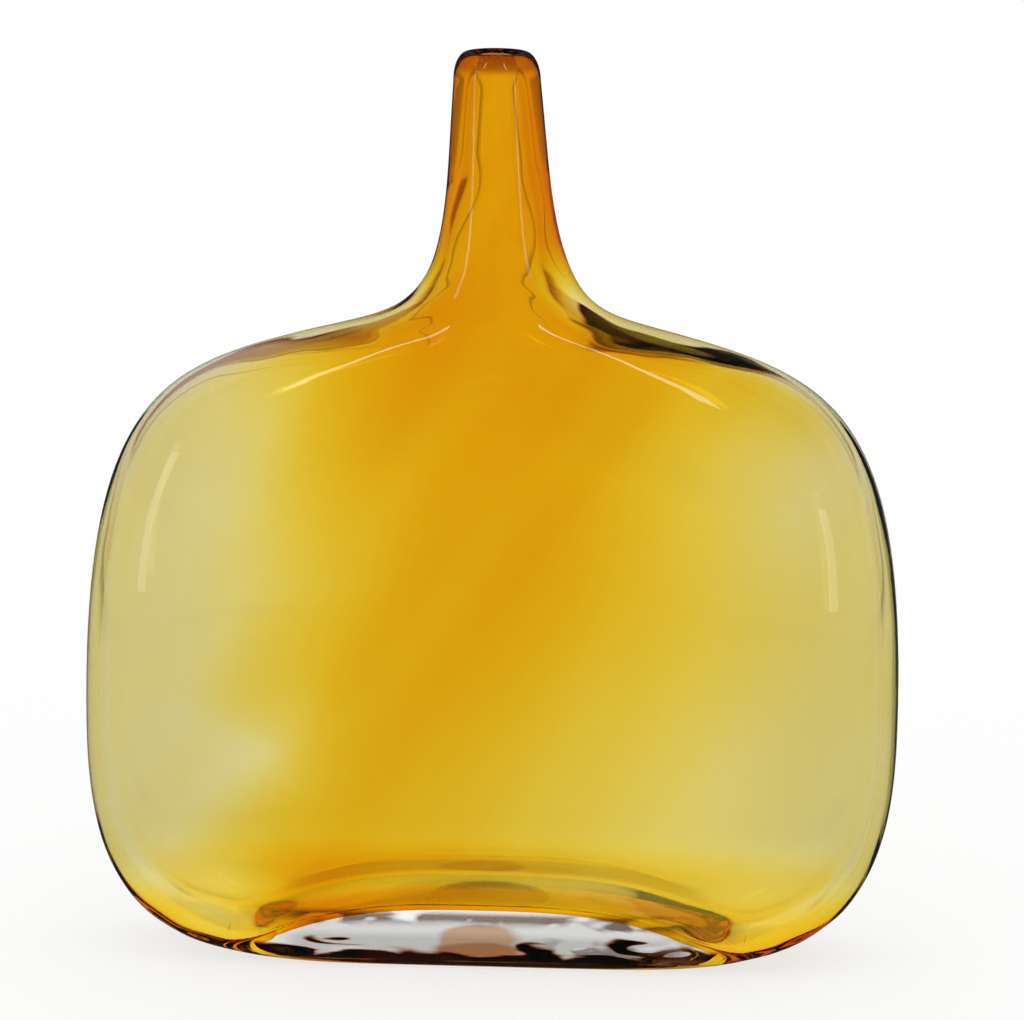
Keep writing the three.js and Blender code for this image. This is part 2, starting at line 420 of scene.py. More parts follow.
def seam_place(form, glass):
    """Place on the heel where the base ends and the casing begins."""
    heel = broad_outline(form)[0]
    low, high = 0.0, 1.0
    halvings = 40
    for _ in range(halvings):
        middle = (low + high) / 2
        if inset(heel, middle, lambda z: 0.0).x < glass.base_width / 2:
            low = middle
        else:
            high = middle
    return low


def middle_at(form, height):
    """Sideways place of the middle of a level section."""
    lean = form.neck_shift * ease(form.lean_start, form.lean_turn, height)
    back = min(1.0, max(0.0, (height - form.lean_turn) / (form.height - form.lean_turn)))
    return lean + (form.lip_shift - form.neck_shift) * back


def arch_at(glass, x):
    """Rise of the bubble's floor over the base."""
    flat_top, soft_foot = 3, 1.3
    part = min(1.0, 2 * abs(x) / glass.base_width)
    return (glass.base_thickness - glass.casing_body) * (1 - part**flat_top) ** soft_foot


def swell(point, millimetres, seed):
    """Smooth noise whose swells have the given size along each axis."""
    scaled = Vector([value / (size * MM) for value, size in zip(point, millimetres)])
    return noise.noise(scaled + Vector(seed))


def base_wander(point, glass):
    """How far the tools left the heel of the base off the true form; the ground foot stays flat."""
    low = 1 - ease(12 * MM, 26 * MM, point.z)
    off_table = ease(0, 6 * MM, point.z)
    broad = swell(point, (30, 22, 14), (5.2, 9.4, 3.3))
    fine = swell(point, (14, 12, 8), (8.1, 1.7, 6.5))
    return glass.base_wave * low * off_table * (broad + 0.4 * fine)


def wander(point, glass, cavity):
    """How far hand work leaves the glass off the true form, square to its surface."""
    size = glass.cavity_wave if cavity else glass.skin_wave
    grip = ease(4 * MM, 30 * MM, point.z)
    seed = Vector((31.7, 4.1, 12.9)) if cavity else Vector((2.3, 17.9, 7.7))
    slow = swell(point, (70, 50, 90), seed)
    quick = swell(point, (26, 30, 45), seed * 2)
    return size * grip * (slow + 0.35 * quick)


def blown(name, stations, closed, form, glass, materials, cavity_zone=None):
    """Spin a profile of stations round the upright axis, then press it flat and lift its floor."""
    bm = bmesh.new()
    flat = bm.verts.layers.float.new("flat")
    square = bm.verts.layers.float.new("square")
    ground = bm.verts.layers.float.new("ground")
    zone = bm.verts.layers.int.new("zone")
    inner = bm.verts.layers.int.new("inner")
    line = []
    for s in stations:
        vert = bm.verts.new((s.half_width, 0, s.height))
        vert[flat] = s.half_depth / s.half_width if s.half_width else 1.0
        vert[square] = s.squareness
        vert[ground] = s.ground
        vert[zone] = s.zone
        vert[inner] = int(s.inner)
        line.append(vert)
    edges = [bm.edges.new(pair) for pair in zip(line, line[1:])]
    if closed:
        edges.append(bm.edges.new((line[-1], line[0])))
    bmesh.ops.spin(
        bm,
        geom=line + edges,
        cent=(0, 0, 0),
        axis=(0, 0, 1),
        angle=2 * math.pi,
        steps=glass.around,
        use_merge=True,
        use_duplicate=False,
    )
    bmesh.ops.remove_doubles(bm, verts=bm.verts[:], dist=WELD)
    for vert in bm.verts:
        x, y, z = vert.co
        reach = math.hypot(x, y)
        if reach > TINY:
            c, s, n = x / reach, y / reach, vert[square]
            press = (abs(c) ** n + abs(s) ** n) ** (-1 / n)
            x, y = reach * press * c, reach * press * s * vert[flat]
        if vert[inner]:
            z = soft_max(z, vert[ground] + arch_at(glass, x), glass.floor_fillet)
            x += glass.bubble_shift * flare_share(form, glass, vert.co.z)
        x += middle_at(form, vert.co.z)
        vert.co = (x, y, z)
    bmesh.ops.recalc_face_normals(bm, faces=bm.faces[:])
    bm.normal_update()
    moves = []
    for vert in bm.verts:
        far = wander(vert.co, glass, vert[zone] == cavity_zone)
        if not vert[inner]:
            far += base_wander(vert.co, glass)
        moves.append(vert.normal * far)
    for vert, move in zip(bm.verts, moves):
        vert.co += move
    for face in bm.faces:
        face.material_index = max(v[zone] for v in face.verts)
        face.smooth = True
    for edge in bm.edges:
        if len(edge.link_faces) == 2 and edge.calc_face_angle(0) > SHARP_EDGE:
            edge.smooth = False
    mesh = bpy.data.meshes.new(name)
    bm.to_mesh(mesh)
    bm.free()
    piece = bpy.data.objects.new(name, mesh)
    bpy.context.scene.collection.objects.link(piece)
    for material in materials:
        mesh.materials.append(material)
    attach(piece, "root")
    return piece


# Materials

WHITE = (1, 1, 1, 1)
SMOOTH = {"interpolation_type": "SMOOTHSTEP"}


def node(tree, kind, inputs=(), **settings):
    """Add a node with its settings; inputs come in order or by key, and a node or socket is linked."""
    made = tree.nodes.new(kind)
    for key, value in settings.items():
        setattr(made, key, value)
    for key, value in inputs.items() if isinstance(inputs, dict) else enumerate(inputs):
        if isinstance(value, bpy.types.Node):
            value = value.outputs[0]
        if isinstance(value, bpy.types.NodeSocket):
            tree.links.new(value, made.inputs[key])
        else:
            made.inputs[key].default_value = value
    return made


def new_material(name):
    """An empty node material, or None in place of its tree if it was made before."""
    known = bpy.data.materials.get(name)
    if known:
        return known, None
    material = bpy.data.materials.new(name)
    material.use_nodes = True
    material.node_tree.nodes.clear()
    return material, material.node_tree


def spacing(*millimetres):
    """Scale of a pattern from its spacing along each axis in millimetres; 0 leaves that axis out."""
    return tuple(1 / (size * MM) if size else 0.0 for size in millimetres)


def clear_blown_glass(colours, inside=False):
    """Clear soda-lime glass, blown and fire-polished: sharp, colourless, with a faint ripple.

    The marks and the painted grey shade of the base lie on the outer skin alone.
    """
    name = "clear_soda_lime_glass_blown_inside" if inside else "clear_soda_lime_glass_fire_polished"
    material, tree = new_material(name)
    if tree is None:
        return material
    place = node(tree, "ShaderNodeTexCoord").outputs["Object"]
    x, y, z = node(tree, "ShaderNodeSeparateXYZ", (place,)).outputs
    across = node(tree, "ShaderNodeMath", (x,), operation="ABSOLUTE")
    # A faint ripple, about 22 mm from swell to swell
    ripple = node(tree, "ShaderNodeTexNoise", {"Vector": place, "Scale": 1 / (22 * MM), "Detail": 1.0})
    fine = node(tree, "ShaderNodeBump", {"Height": ripple, "Strength": 0.25, "Distance": 0.4 * MM})
    # Tool marks left in the base while it was soft: level ridges about 34 mm long
    low = node(tree, "ShaderNodeMapRange", (z, 11 * MM, 15 * MM, 0.0 if inside else 1.0, 0.0), **SMOOTH)
    off_table = node(tree, "ShaderNodeMapRange", (z, 0.5 * MM, 3 * MM), **SMOOTH)
    heel = node(tree, "ShaderNodeMath", (low, off_table), operation="MULTIPLY")
    middle = node(tree, "ShaderNodeMapRange", (across, 60 * MM, 78 * MM, 1.0, 0.0), **SMOOTH)
    # This heel mask carries both the tool marks and the painted grey shade of the base
    marks_and_painted_grey = node(tree, "ShaderNodeMath", (heel, middle), operation="MULTIPLY")
    pressed = node(tree, "ShaderNodeVectorMath", (place, spacing(34, 26, 12)), operation="MULTIPLY")
    marks = node(tree, "ShaderNodeTexNoise", {"Vector": pressed, "Scale": 1.0, "Detail": 1.0})
    bump = node(
        tree,
        "ShaderNodeBump",
        {"Height": marks, "Strength": marks_and_painted_grey, "Distance": 4 * MM, "Normal": fine},
    )
    # Streaks drawn along the shoulders, about 60 mm long and 11 mm apart, as the hot glass was pulled out
    slope = 0.38
    along = node(tree, "ShaderNodeMath", (across, slope, z), operation="MULTIPLY_ADD")
    run = node(tree, "ShaderNodeCombineXYZ", (across, y, along))
    pulled = node(tree, "ShaderNodeVectorMath", (run, spacing(60, 18, 11)), operation="MULTIPLY")
    streaks = node(tree, "ShaderNodeTexNoise", {"Vector": pulled, "Scale": 1.0, "Detail": 1.0})
    start = node(tree, "ShaderNodeMapRange", (z, 186 * MM, 206 * MM), **SMOOTH)
    finish = node(tree, "ShaderNodeMapRange", (z, 222 * MM, 238 * MM, 1.0, 0.0), **SMOOTH)
    shoulder = node(tree, "ShaderNodeMath", (start, finish), operation="MULTIPLY")
    drag = node(
        tree,
        "ShaderNodeBump",
        {"Height": streaks, "Strength": shoulder, "Distance": 0.8 * MM, "Normal": bump},
    )
    # The hollow under the base, 36 mm across, is ground and left satin
    flat = node(tree, "ShaderNodeVectorMath", (place, (1, 1, 0)), operation="MULTIPLY")
    out = node(tree, "ShaderNodeVectorMath", (flat,), operation="LENGTH").outputs["Value"]
    satin = node(tree, "ShaderNodeMapRange", (out, 18 * MM, 21 * MM, 0.3, 0.0), **SMOOTH)
    underside = node(tree, "ShaderNodeMapRange", (z, 2 * MM, 3 * MM, 1.0, 0.0), **SMOOTH)
    ground = node(tree, "ShaderNodeMath", (satin, underside), operation="MULTIPLY")
    # Painted reflection of the amber: a torn brown patch in the middle of the heel, about 17 mm to each side
    # and 5 mm high
    drawn = node(tree, "ShaderNodeVectorMath", (place, spacing(17, 0, 5)), operation="MULTIPLY")
    centred = node(tree, "ShaderNodeVectorMath", (drawn, (-0.08, 0, 1.3)), operation="SUBTRACT")
    torn = node(
        tree,
        "ShaderNodeVectorMath",
        (marks.outputs["Color"], (1.2, 0, 1.2), centred),
        operation="MULTIPLY_ADD",
    )
    evened = node(tree, "ShaderNodeVectorMath", (torn, (0.6, 0, 0.6)), operation="SUBTRACT")
    off = node(tree, "ShaderNodeVectorMath", (evened,), operation="LENGTH").outputs["Value"]
    painted_amber_reflection = node(tree, "ShaderNodeMapRange", (off, 0.8, 1.1, 1.0, 0.0), **SMOOTH)
    # Painted shade: dark patches lie along the top of the base and at its right end
    shade_patches = node(tree, "ShaderNodeVectorMath", (place, spacing(21, 0, 9)), operation="MULTIPLY")
    shade_patch_noise = node(tree, "ShaderNodeTexNoise", {"Vector": shade_patches, "Scale": 1.0, "Detail": 2.0})
    broken = node(tree, "ShaderNodeMapRange", (shade_patch_noise, 0.42, 0.5), **SMOOTH)
    rise = node(tree, "ShaderNodeMapRange", (z, 11 * MM, 14 * MM), **SMOOTH)
    under = node(tree, "ShaderNodeMapRange", (z, 20 * MM, 23 * MM, 1.0, 0.0), **SMOOTH)
    skin = node(tree, "ShaderNodeMapRange", (y, -37 * MM, -36 * MM, 1.0, 0.0), **SMOOTH)
    face = node(tree, "ShaderNodeMath", (skin, under), operation="MULTIPLY")
    top = node(tree, "ShaderNodeMath", (rise, face), operation="MULTIPLY")
    rightward = node(tree, "ShaderNodeMapRange", (x, 14 * MM, 30 * MM, 0.0, 0.9), **SMOOTH)
    front = node(tree, "ShaderNodeMapRange", (y, -24 * MM, -16 * MM, 1.0, 0.0), **SMOOTH)
    reach = node(tree, "ShaderNodeMath", (heel, front), operation="MULTIPLY")
    end = node(tree, "ShaderNodeMath", (rightward, reach), operation="MULTIPLY")
    either = node(tree, "ShaderNodeMath", (top, end), operation="MAXIMUM")
    where = node(tree, "ShaderNodeMath", (either, middle), operation="MULTIPLY")
    painted_shade_patch = node(tree, "ShaderNodeMath", (where, broken), operation="MULTIPLY")
    # Painted shade: the rolled lip is darkened in an amber brown
    rolled = node(tree, "ShaderNodeMapRange", (z, 298 * MM, 301 * MM), **SMOOTH)
    # Clear glass takes the painted grey shade of the base, then the painted reflection of the amber, the
    # painted dark patches and the painted shade of the lip
    tone = WHITE
    tones = ((marks_and_painted_grey, colours.base), (painted_amber_reflection, colours.painted_amber_reflection), (painted_shade_patch, colours.fold), (rolled, colours.lip))
    for mask, colour in tones:
        inputs = {0: mask, 6: tone, 7: (*colour, 1)}
        tone = node(tree, "ShaderNodeMix", inputs, data_type="RGBA").outputs[2]
    shader = node(
        tree,
        "ShaderNodeBsdfPrincipled",
        {"Base Color": tone, "Roughness": ground, "IOR": 1.5, "Transmission Weight": 1.0, "Normal": drag},
    )
    node(tree, "ShaderNodeOutputMaterial", (shader,))
    return material


def fused_joint():
    """Joint inside the glass where two gathers melted together: nothing shows there."""
    material, tree = new_material("fused_glass_joint")
    if tree is None:
        return material
    shader = node(tree, "ShaderNodeBsdfTransparent", (WHITE,))
    node(tree, "ShaderNodeOutputMaterial", (shader,))
    return material


def amber_glass(colours):
    """Amber soda-lime glass under the casing: light is stained by how deep the amber is along its way, and
    darkened by painted shade.
    """
    material, tree = new_material("amber_soda_lime_glass_cased")
    if tree is None:
        return material
    place = node(tree, "ShaderNodeTexCoord").outputs["Object"]
    x, y, z = node(tree, "ShaderNodeSeparateXYZ", (place,)).outputs
    # Slow drift of the hot glass, about 90 mm from swell to swell
    drift = node(tree, "ShaderNodeTexNoise", {"Vector": place, "Scale": 1 / (90 * MM), "Detail": 1.5})
    push = node(
        tree,
        "ShaderNodeVectorMath",
        (drift.outputs["Color"], (0.5, 0.5, 0.5)),
        operation="SUBTRACT",
    )
    moved = node(
        tree,
        "ShaderNodeVectorMath",
        (push, (24 * MM, 0, 16 * MM), place),
        operation="MULTIPLY_ADD",
    )
    side, _, level = node(tree, "ShaderNodeSeparateXYZ", (moved,)).outputs
    # The deep amber swings from the middle at the shoulders to the left at the foot
    ridge = node(tree, "ShaderNodeMapRange", (level, 45 * MM, 145 * MM, -42 * MM, 6 * MM), **SMOOTH)
    # Its left edge swells and draws in below the middle, 61 mm from swell to swell
    turn = 2 * math.pi / (61 * MM)
    swell_height = 96 * MM
    fold = node(tree, "ShaderNodeMath", (level, turn, -turn * swell_height), operation="MULTIPLY_ADD")
    bulge = node(tree, "ShaderNodeMath", (fold,), operation="COSINE")
    below = node(tree, "ShaderNodeMapRange", (level, 95 * MM, 125 * MM, 12 * MM, 0.0), **SMOOTH)
    left = node(tree, "ShaderNodeMapRange", (level, 60 * MM, 135 * MM, 38 * MM, 69 * MM), **SMOOTH)
    left_edge = node(tree, "ShaderNodeMath", (bulge, below, left), operation="MULTIPLY_ADD")
    right = node(tree, "ShaderNodeMapRange", (level, 90 * MM, 150 * MM, 86 * MM, 58 * MM), **SMOOTH)
    spread = node(tree, "ShaderNodeMapRange", (level, 165 * MM, 200 * MM, 0.0, 30 * MM), **SMOOTH)
    right_edge = node(tree, "ShaderNodeMath", (right, spread), operation="ADD")
    away = node(tree, "ShaderNodeMath", (side, ridge), operation="SUBTRACT")
    rightward = node(tree, "ShaderNodeMath", (away, 0.0), operation="GREATER_THAN")
    width = node(tree, "ShaderNodeMix", {0: rightward, 2: left_edge, 3: right_edge}, data_type="FLOAT")
    reach = node(tree, "ShaderNodeMath", (away, width), operation="DIVIDE")
    far = node(tree, "ShaderNodeMath", (reach,), operation="ABSOLUTE")
    # The left edge is firm, the right edge fades slowly
    firm = node(tree, "ShaderNodeMix", {0: rightward, 2: 3.4, 3: 2.0}, data_type="FLOAT")
    fall = node(tree, "ShaderNodeMath", (far, firm), operation="POWER")
    core = node(tree, "ShaderNodeMath", (1 / math.e, fall), operation="POWER")
    peak = node(tree, "ShaderNodeMapRange", (level, 40 * MM, 200 * MM, 1.5, 2.8))
    least = 0.5
    deep = node(tree, "ShaderNodeMath", (core, peak, least), operation="MULTIPLY_ADD")
    # Streaks 25 mm apart, drawn out down to the left as the bubble was turned
    slant = (0, math.radians(-35), 0)
    turned = node(tree, "ShaderNodeMapping", {"Vector": place, "Rotation": slant}, vector_type="POINT")
    drawn = node(tree, "ShaderNodeVectorMath", (turned, spacing(25, 0, 140)), operation="MULTIPLY")
    streak = node(tree, "ShaderNodeTexNoise", {"Vector": drawn, "Scale": 1.0, "Detail": 1.5})
    streaks = node(tree, "ShaderNodeMapRange", (streak, 0.25, 0.75, 0.86, 1.14))
    streaked = node(tree, "ShaderNodeMath", (deep, streaks), operation="MULTIPLY")
    # The amber is drawn thin where the narrow sides were pressed out, but not in the neck
    near = node(tree, "ShaderNodeMath", (y,), operation="ABSOLUTE")
    thinnest = node(tree, "ShaderNodeMapRange", (z, 175 * MM, 200 * MM, 0.38, 0.12), **SMOOTH)
    thin = node(tree, "ShaderNodeMapRange", (near, 3 * MM, 17 * MM, thinnest, 1.0), **SMOOTH)
    necked = node(tree, "ShaderNodeMapRange", (z, 218 * MM, 245 * MM), **SMOOTH)
    # It is thinner where the neck starts than at the lip
    gathered = node(tree, "ShaderNodeMapRange", (z, 225 * MM, 300 * MM, 0.84, 1.08))
    drawn_thin = node(tree, "ShaderNodeMix", {0: necked, 2: thin, 3: gathered}, data_type="FLOAT")
    # It pooled over the base while the vase stood to cool
    pooled = node(tree, "ShaderNodeMapRange", (z, 15 * MM, 30 * MM, 2.5, 1.0), **SMOOTH)
    settled = node(tree, "ShaderNodeMath", (drawn_thin, pooled), operation="MULTIPLY")
    depth = node(tree, "ShaderNodeMath", (streaked, settled), operation="MULTIPLY")
    # A slanting way through the layer is longer, up to a limit
    facing = node(tree, "ShaderNodeLayerWeight", {"Blend": 0.5}).outputs["Facing"]
    upright = node(tree, "ShaderNodeMath", (1.0, facing), operation="SUBTRACT")
    limited = node(tree, "ShaderNodeMath", (upright, 0.7), operation="MAXIMUM")
    way = node(tree, "ShaderNodeMath", (depth, limited), operation="DIVIDE")
    # Painted shade: the walls are darkened, most of all low down and at the pale ends, and the floor hardly
    rising = node(tree, "ShaderNodeMapRange", (z, 60 * MM, 200 * MM, 0.885, 0.925))
    aside = node(tree, "ShaderNodeMath", (x,), operation="ABSOLUTE")
    ends = node(tree, "ShaderNodeMapRange", (aside, 55 * MM, 115 * MM, 1.0, 0.92), **SMOOTH)
    wall_shade = node(tree, "ShaderNodeMath", (rising, ends), operation="MULTIPLY")
    walled = node(tree, "ShaderNodeMapRange", (z, 14 * MM, 36 * MM), **SMOOTH)
    painted_shade = node(tree, "ShaderNodeMix", {0: walled, 2: 0.98, 3: wall_shade}, data_type="FLOAT")
    channels = []
    for let_through in colours.amber:
        part = node(tree, "ShaderNodeMath", (let_through, way), operation="POWER")
        channels.append(node(tree, "ShaderNodeMath", (part, painted_shade), operation="MULTIPLY"))
    stain = node(tree, "ShaderNodeCombineColor", channels)
    shader = node(tree, "ShaderNodeBsdfTransparent", (stain,))
    node(tree, "ShaderNodeOutputMaterial", (shader,))
    return material


def floor_paper(colours):
    """Matt white paper sweep: even, with no gloss."""
    material, tree = new_material("matt_white_paper_rolled")
    if tree is None:
        return material
    place = node(tree, "ShaderNodeTexCoord").outputs["Object"]
    fibre = node(tree, "ShaderNodeTexNoise", {"Vector": place, "Scale": 1 / (40 * MM), "Detail": 3.0})
    tone = node(tree, "ShaderNodeMapRange", (fibre, 0.0, 1.0, 0.99, 1.0))
    colour = node(tree, "ShaderNodeVectorMath", (tuple(colours.floor), tone), operation="MULTIPLY")
    paper = node(
        tree,
        "ShaderNodeBsdfPrincipled",
        {"Base Color": colour, "Roughness": 1.0, "Specular IOR Level": 0.0},
    )
    # Through the glass the paper glows as the white background, with painted shade that darkens it far out
    # at both sides
    axes = node(tree, "ShaderNodeSeparateXYZ", (place,))
    aside = node(tree, "ShaderNodeMath", (axes.outputs["X"],), operation="ABSOLUTE")
    table = node(tree, "ShaderNodeMapRange", (aside, 0.55, 0.9, 1.0, 0.5), **SMOOTH)
    lit = node(tree, "ShaderNodeEmission", (WHITE, table))
    # Seen directly it is mostly background too, and keeps a light shadow
    path = node(tree, "ShaderNodeLightPath").outputs
    seen = node(tree, "ShaderNodeMath", (path["Is Camera Ray"], 0.72), operation="MULTIPLY")
    shown = node(tree, "ShaderNodeMath", (path["Is Transmission Ray"], seen), operation="MAXIMUM")
    white = node(tree, "ShaderNodeEmission", (WHITE, 1.0))
    view = node(tree, "ShaderNodeMixShader", (path["Is Camera Ray"], lit, white))
    shader = node(tree, "ShaderNodeMixShader", (shown, paper, view))
    node(tree, "ShaderNodeOutputMaterial", (shader,))
    return material


# Operators


class VASE_OT_clear_casing(bpy.types.Operator):
    """Blow the clear casing, with its rounded lip"""

    bl_idname = "vase.clear_casing"
    bl_label = "Clear casing"

    def execute(self, context):
        scene = context.scene
        form, glass, colours = scene.vase_form, scene.vase_glass, scene.vase_colours
        made = layers(form, glass)
        seam = seam_place(form, glass)
        skin, inner = made["skin"], made["casing"]
        neck = form.neck_top / 2
        bore = neck - made["air"].depth(form.height)
        crest = bore + form.lip_inner
        roll_foot = form.height - form.lip_inner
        profile = skin.wall(seam, OUTSIDE)
        for turn in quarter_turn(LIP_STEPS):
            radius = mix(neck, crest, 1 - math.cos(turn))
            height = mix(lip_start(form), form.height, math.sin(turn))
            profile.append(skin.station(radius, radius, height, OUTSIDE))
        for turn in quarter_turn(ROLL_STEPS):
            radius = mix(crest, bore, math.sin(turn))
            height = mix(form.height, roll_foot, 1 - math.cos(turn))
            profile.append(skin.station(radius, radius, height, OUTSIDE))
        inside = neck - inner.depth(form.height)
        profile.append(skin.station(inside, inside, roll_foot, INSIDE))
        profile += reversed(inner.wall(seam, INSIDE))
        materials = [clear_blown_glass(colours), fused_joint()]
        piece = blown("vase_casing", profile, True, form, glass, materials)
        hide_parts("clear_casing")
        return {"FINISHED"}


class VASE_OT_amber_bubble(bpy.types.Operator):
    """Blow the amber bubble inside the casing"""

    bl_idname = "vase.amber_bubble"
    bl_label = "Amber bubble"

    def execute(self, context):
        scene = context.scene
        form, glass, colours = scene.vase_form, scene.vase_glass, scene.vase_colours
        made = layers(form, glass)
        seam = seam_place(form, glass)
        skin, outer, inner = made["skin"], made["amber"], made["air"]
        neck = form.neck_top / 2
        top = form.height - form.lip_inner - glass.fuse
        wide = neck - outer.depth(form.height)
        bore = neck - inner.depth(form.height)
        profile = outer.floor(OUTSIDE) + outer.heel(seam, OUTSIDE) + outer.wall(seam, OUTSIDE)
        profile.append(skin.station(wide, wide, top, OUTSIDE))
        profile.append(skin.station(bore, bore, top, OUTSIDE))
        profile += reversed(inner.floor(INSIDE) + inner.heel(seam, INSIDE) + inner.wall(seam, INSIDE))
        materials = [amber_glass(colours), clear_blown_glass(colours, inside=True)]
        piece = blown("vase_bubble", profile, False, form, glass, materials, INSIDE)
        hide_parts("amber_bubble")
        return {"FINISHED"}


class VASE_OT_clear_base(bpy.types.Operator):
    """Set the thick clear base under the bubble, with its ground hollow"""

    bl_idname = "vase.clear_base"
    bl_label = "Clear base"

    def execute(self, context):
        scene = context.scene
        form, glass, colours = scene.vase_form, scene.vase_glass, scene.vase_colours
        made = layers(form, glass)
        seam = seam_place(form, glass)
        skin, top = made["skin"], made["casing"]
        half, deep = glass.pontil_diameter / 2, glass.pontil_depth
        sphere = (half * half + deep * deep) / (2 * deep)
        profile = []
        for i in range(PONTIL_STEPS + 1):
            radius = half * i / PONTIL_STEPS
            height = math.sqrt(sphere * sphere - radius * radius) - (sphere - deep)
            profile.append(Station(radius, radius, height, ELLIPSE, 0.0, OUTSIDE, False))
        rim = skin.station(form.foot_width / 2, form.foot_depth / 2, 0.0, OUTSIDE)
        for i in range(1, FLOOR_STEPS):
            part = i / FLOOR_STEPS
            half_width = mix(half, rim.half_width, part)
            half_depth = mix(half, rim.half_depth, part)
            squareness = mix(ELLIPSE, rim.squareness, part)
            profile.append(Station(half_width, half_depth, 0.0, squareness, 0.0, OUTSIDE, False))
        profile += skin.heel(seam, OUTSIDE) + skin.along(0, [seam], OUTSIDE)
        profile += reversed(top.floor(INSIDE) + top.heel(seam, INSIDE) + top.along(0, [seam], INSIDE))
        materials = [clear_blown_glass(colours), fused_joint()]
        piece = blown("vase_base", profile, False, form, glass, materials)
        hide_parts("clear_base")
        return {"FINISHED"}


# Strip lamps round the vase: compass angle from the camera's side and angles of both ends above the middle
# of the vase, in degrees, width in metres and power in watts
Strip = namedtuple("Strip", "name azimuth low high width power")
STRIPS = (
    Strip("strip_left", -57, -3, 26, 0.12, 0.5),
    Strip("strip_right", 50, -3, 18, 0.12, 0.32),
    Strip("strip_left_above", -36, 36, 56, 0.1, 1.4),
    Strip("strip_right_above", 31, 36, 58, 0.1, 1.6),
)
STRIP_DISTANCE = 1.4
VASE_MIDDLE = 0.15
CAMERA_DISTANCE = 2.2
FRAME_WIDTH, FRAME_HEIGHT = 1024, 1020


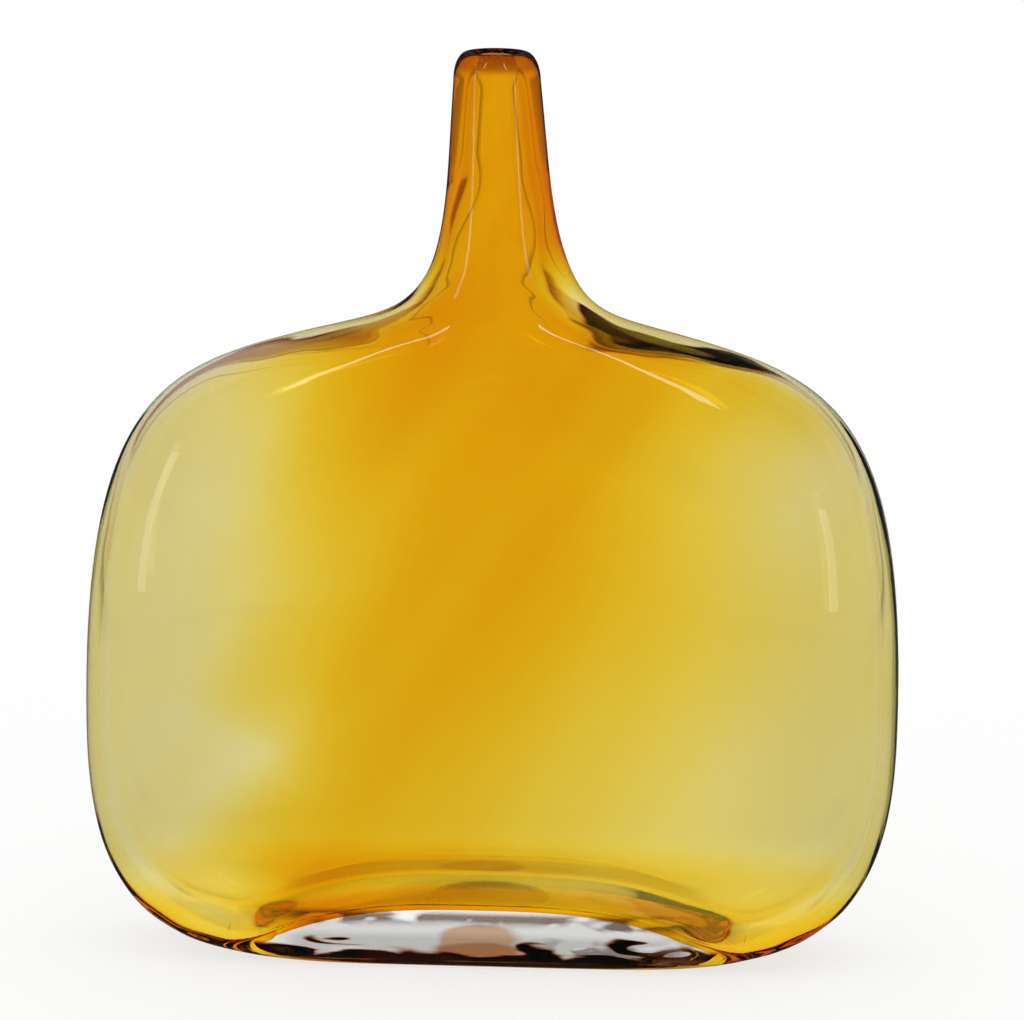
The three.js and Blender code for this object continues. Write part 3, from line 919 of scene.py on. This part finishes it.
class VASE_OT_stage(bpy.types.Operator):
    """Lay the floor, hang the lights and place the camera"""

    bl_idname = "vase.stage"
    bl_label = "Floor, light and camera"

    def execute(self, context):
        scene = context.scene
        self.lay_floor(scene)
        self.light_world(scene)
        for strip in STRIPS:
            self.hang_strip(scene, strip)
        self.place_camera(scene)
        scene.view_settings.view_transform = "Standard"
        # Light passes many walls of glass before it leaves the vase
        scene.cycles.max_bounces = 40
        scene.cycles.transmission_bounces = 40
        scene.cycles.glossy_bounces = 20
        scene.cycles.transparent_max_bounces = 64
        return {"FINISHED"}

    def lay_floor(self, scene):
        """Paper 2 m wide and 12 m long, most of it behind the vase, just under its foot."""
        bm = bmesh.new()
        bmesh.ops.create_grid(bm, x_segments=8, y_segments=8, size=1.0)
        bmesh.ops.scale(bm, vec=(1.0, 6.0, 1.0), verts=bm.verts[:])
        bmesh.ops.translate(bm, vec=(0, 2.0, -0.3 * MM), verts=bm.verts[:])
        mesh = bpy.data.meshes.new("floor")
        bm.to_mesh(mesh)
        bm.free()
        floor = bpy.data.objects.new("floor", mesh)
        scene.collection.objects.link(floor)
        mesh.materials.append(floor_paper(scene.vase_colours))
        floor.visible_glossy = False

    def light_world(self, scene):
        """White studio; its sides and ceiling are darker where glass bends the view to them."""
        world = bpy.data.worlds.new("white_studio")
        scene.world = world
        world.use_nodes = True
        tree = world.node_tree
        tree.nodes.clear()
        path = node(tree, "ShaderNodeLightPath").outputs
        way = node(tree, "ShaderNodeTexCoord").outputs["Generated"]
        across, _, up = node(tree, "ShaderNodeSeparateXYZ", (way,)).outputs
        aside = node(tree, "ShaderNodeMath", (across,), operation="ABSOLUTE")
        # The side walls darken away from the vase, most of all above the table
        raised = node(tree, "ShaderNodeMapRange", (up, 0.06, 0.16, 0.2, 1.0), **SMOOTH)
        sides = node(tree, "ShaderNodeMapRange", (aside, 0.5, 0.8, 1.0, 0.3), **SMOOTH)
        flanks = node(tree, "ShaderNodeMix", {0: raised, 2: 1.0, 3: sides}, data_type="FLOAT")
        # The ceiling is darkest over the middle and lighter towards the sides, most on the right
        above = node(tree, "ShaderNodeMapRange", (up, 0.23, 0.29, 1.0, 0.0), **SMOOTH)
        left = node(tree, "ShaderNodeMapRange", (across, -0.22, -0.1, 0.55, 1.0), **SMOOTH)
        right = node(tree, "ShaderNodeMapRange", (across, 0.18, 0.3, 1.0, 0.3), **SMOOTH)
        middle = node(tree, "ShaderNodeMath", (left, right), operation="MULTIPLY")
        ceiling = node(tree, "ShaderNodeMix", {0: middle, 2: 1.0, 3: above}, data_type="FLOAT")
        room = node(tree, "ShaderNodeMath", (flanks, ceiling), operation="MULTIPLY")
        # The room's greys are warm: green and blue fall faster than red
        warm_powers = (0.65, 1.15, 1.4)
        greys = [node(tree, "ShaderNodeMath", (room, power), operation="POWER") for power in warm_powers]
        warm = node(tree, "ShaderNodeCombineColor", greys)
        # Light that reaches the floor through the glass comes from the whole white studio
        direct = node(tree, "ShaderNodeMath", (path["Diffuse Depth"], 0.5), operation="LESS_THAN")
        through = node(tree, "ShaderNodeMath", (path["Is Transmission Ray"], direct), operation="MULTIPLY")
        bent = node(tree, "ShaderNodeMix", {0: through, 6: WHITE, 7: warm}, data_type="RGBA").outputs[2]
        # Gloss on the glass shows a dim room, so that the strips stand out in it
        dim = (0.05, 0.05, 0.05, 1)
        mirrored = node(
            tree,
            "ShaderNodeMath",
            (path["Is Glossy Ray"], path["Is Reflection Ray"]),
            operation="MULTIPLY",
        )
        shine = node(tree, "ShaderNodeMix", {0: mirrored, 6: bent, 7: dim}, data_type="RGBA").outputs[2]
        back = node(tree, "ShaderNodeBackground", (shine, 1.0))
        node(tree, "ShaderNodeOutputWorld", (back,))

    def hang_strip(self, scene, strip):
        """An upright strip softbox that shows in the glass alone."""
        lamp = bpy.data.lights.new(strip.name, "AREA")
        lamp.shape = "RECTANGLE"
        bottom, top = (
            VASE_MIDDLE + STRIP_DISTANCE * math.tan(math.radians(angle)) for angle in (strip.low, strip.high)
        )
        lamp.size, lamp.size_y = strip.width, top - bottom
        lamp.energy = strip.power
        hung = bpy.data.objects.new(strip.name, lamp)
        scene.collection.objects.link(hung)
        turn = math.radians(strip.azimuth)
        out = Vector((math.sin(turn), -math.cos(turn), 0)) * STRIP_DISTANCE
        hung.location = out + Vector((0, 0, (bottom + top) / 2))
        hung.rotation_euler = (-out).to_track_quat("-Z", "Y").to_euler()
        hung.visible_camera = False
        hung.visible_diffuse = False

    def place_camera(self, scene):
        """Camera at the photograph's angle: almost square on, 12 degrees up, rolled by under 1 degree."""
        azimuth, elevation, roll = math.radians(3.07), math.radians(11.56), math.radians(0.66)
        pixels_per_mm = 2.99
        vase_x, vase_y = 493.7, 512.2
        level = math.cos(elevation)
        back = Vector((math.sin(azimuth) * level, -math.cos(azimuth) * level, math.sin(elevation)))
        data = bpy.data.cameras.new("camera")
        data.sensor_width = 36
        data.lens = pixels_per_mm / MM * CAMERA_DISTANCE * data.sensor_width / FRAME_WIDTH
        data.clip_end = 100
        data.shift_x = (FRAME_WIDTH / 2 - vase_x) / FRAME_WIDTH
        data.shift_y = (vase_y - FRAME_HEIGHT / 2) / FRAME_WIDTH
        camera = bpy.data.objects.new("camera", data)
        scene.collection.objects.link(camera)
        turn = (-back).to_track_quat("-Z", "Y").to_matrix() @ Matrix.Rotation(roll, 3, "Z")
        spot = Vector((0, 0, VASE_MIDDLE)) + back * CAMERA_DISTANCE
        camera.matrix_world = Matrix.Translation(spot) @ turn.to_4x4()
        scene.camera = camera


class VASE_PT_panel(bpy.types.Panel):
    """Steps that build the vase"""

    bl_idname = "VASE_PT_panel"
    bl_label = "Amber bottle vase"
    bl_space_type = "VIEW_3D"
    bl_region_type = "UI"
    bl_category = "Vase"

    def draw(self, context):
        for operator in OPERATORS:
            self.layout.operator(operator.bl_idname)


OPERATORS = (VASE_OT_clear_casing, VASE_OT_amber_bubble, VASE_OT_clear_base, VASE_OT_stage)
GROUPS = {"vase_form": VaseForm, "vase_glass": VaseGlass, "vase_colours": VaseColours}


def register():
    for made in (*GROUPS.values(), *OPERATORS, VASE_PT_panel):
        bpy.utils.register_class(made)
    for name, group in GROUPS.items():
        setattr(bpy.types.Scene, name, PointerProperty(type=group))


def unregister():
    for name in GROUPS:
        delattr(bpy.types.Scene, name)
    for made in reversed((*GROUPS.values(), *OPERATORS, VASE_PT_panel)):
        bpy.utils.unregister_class(made)


def main():
    register()
    bpy.ops.vase.clear_casing()
    bpy.ops.vase.amber_bubble()
    bpy.ops.vase.clear_base()
    bpy.ops.vase.stage()


if __name__ == "__main__":
    main()
